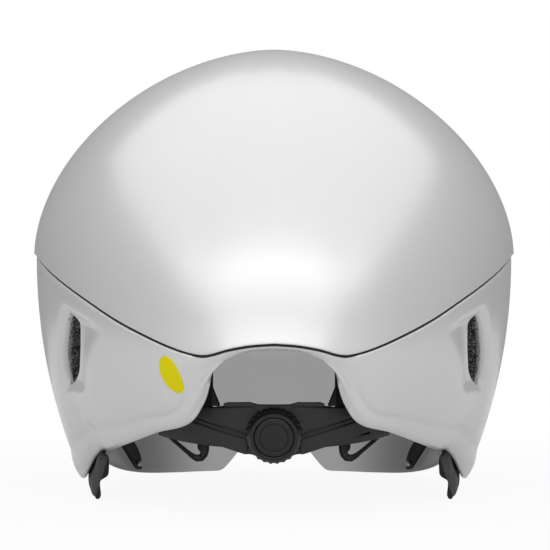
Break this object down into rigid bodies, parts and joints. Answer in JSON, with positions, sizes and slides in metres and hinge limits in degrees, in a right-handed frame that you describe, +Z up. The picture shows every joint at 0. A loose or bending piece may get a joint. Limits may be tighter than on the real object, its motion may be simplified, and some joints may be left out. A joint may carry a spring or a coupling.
{
  "type": "aero time trial helmet",
  "caption": "Smooth closed-shell cycling time trial helmet with a pull-off magnetic visor, ear covers, slip liner, chin strap and a dial-adjusted rear cradle.",
  "frame": {"origin": "middle of the helmet's box on the surface it stands on", "axes": "+X to the wearer's right, +Y forward to the brow and visor, +Z up to the crown"},
  "size_m": [0.241, 0.3041, 0.2236],
  "materials": {
    "shell_white": "smooth glossy clear-coated white",
    "foam_black": "beaded black foam",
    "rubber_black": "soft matt rubber",
    "plastic_black": "satin moulded nylon",
    "dial_black": "satin moulded nylon, a little darker",
    "flap_grey": "soft matt moulded flap",
    "webbing": "woven polyester webbing",
    "pad_cloth": "brushed knit over foam",
    "liner_dark": "thin low-friction sheet",
    "label_yellow": "blank printed film",
    "lens_clear": "lightly smoked polycarbonate",
    "steel": "plated steel"
  },
  "bodies": {
    "helmet": {"crown_shell": "shell_white", "lower_shell": "shell_white", "crown_foam": "foam_black", "side_foam_left": "foam_black", "side_foam_right": "foam_black", "brow_seal": "rubber_black", "intake_grille": "plastic_black", "label_plate": "label_yellow", "ear_flap_left": "flap_grey", "ear_flap_right": "flap_grey", "helmet_magnets": "steel", "height_sockets": "plastic_black", "liner_anchors": "rubber_black", "strap_anchors": "plastic_black", "rear_strap_left": "webbing", "rear_strap_right": "webbing", "front_strap_left": "webbing", "front_strap_right": "webbing", "strap_dividers": "plastic_black", "chin_strap": "webbing", "buckle_socket": "plastic_black", "buckle_prongs": "plastic_black"},
    "liner": {"slip_liner": "liner_dark", "brow_pad": "pad_cloth", "crown_pad_left": "pad_cloth", "crown_pad_right": "pad_cloth", "side_pad_left": "pad_cloth", "side_pad_right": "pad_cloth", "rear_pad": "pad_cloth"},
    "cradle": {"cradle_yoke": "plastic_black", "cradle_plate": "plastic_black", "nape_pads": "pad_cloth", "ratchet_ring": "plastic_black"},
    "dial": {"dial_knob": "dial_black", "dial_cap": "dial_black", "pinion": "plastic_black", "pawl_spring": "steel", "dial_screw": "steel"},
    "left_band": {"band_left": "plastic_black"},
    "right_band": {"band_right": "plastic_black"},
    "visor": {"visor_lens": "lens_clear", "magnet_arm_left": "plastic_black", "magnet_arm_right": "plastic_black", "visor_magnets": "steel", "arm_screws": "steel"}
  },
  "joints": [
    {"name": "liner_slip", "type": "hinge", "parent": "helmet", "child": "liner", "pos_m": [0, 0, 0.12], "axis": [0, 0, 1], "range_deg": [-3, 3], "stiffness_Nm_per_rad": 0.4},
    {"name": "cradle_height", "type": "slide", "parent": "helmet", "child": "cradle", "axis": [0, 0, 1], "range_m": [0, 0.01]},
    {"name": "dial_turn", "type": "hinge", "parent": "cradle", "child": "dial", "pos_m": [0, -0.12, 0.0385], "axis": [0, 0.9877, 0.1564], "range_deg": [0, 360]},
    {"name": "left_band_travel", "type": "hinge", "parent": "cradle", "child": "left_band", "pos_m": [0, -0.04889, 0.04976], "axis": [0, -0.1564, 0.9877], "range_deg": [0, 21.3]},
    {"name": "right_band_travel", "type": "hinge", "parent": "cradle", "child": "right_band", "pos_m": [0, -0.04889, 0.04976], "axis": [0, -0.1564, 0.9877], "range_deg": [-21.3, 0]},
    {"name": "visor_off", "type": "slide", "parent": "helmet", "child": "visor", "axis": [0, 1, 0], "range_m": [0, 0.08]}
  ],
  "couplings": [
    {"joint": "left_band_travel", "follows": "dial_turn", "ratio": 0.058824},
    {"joint": "right_band_travel", "follows": "dial_turn", "ratio": -0.058824}
  ]
}
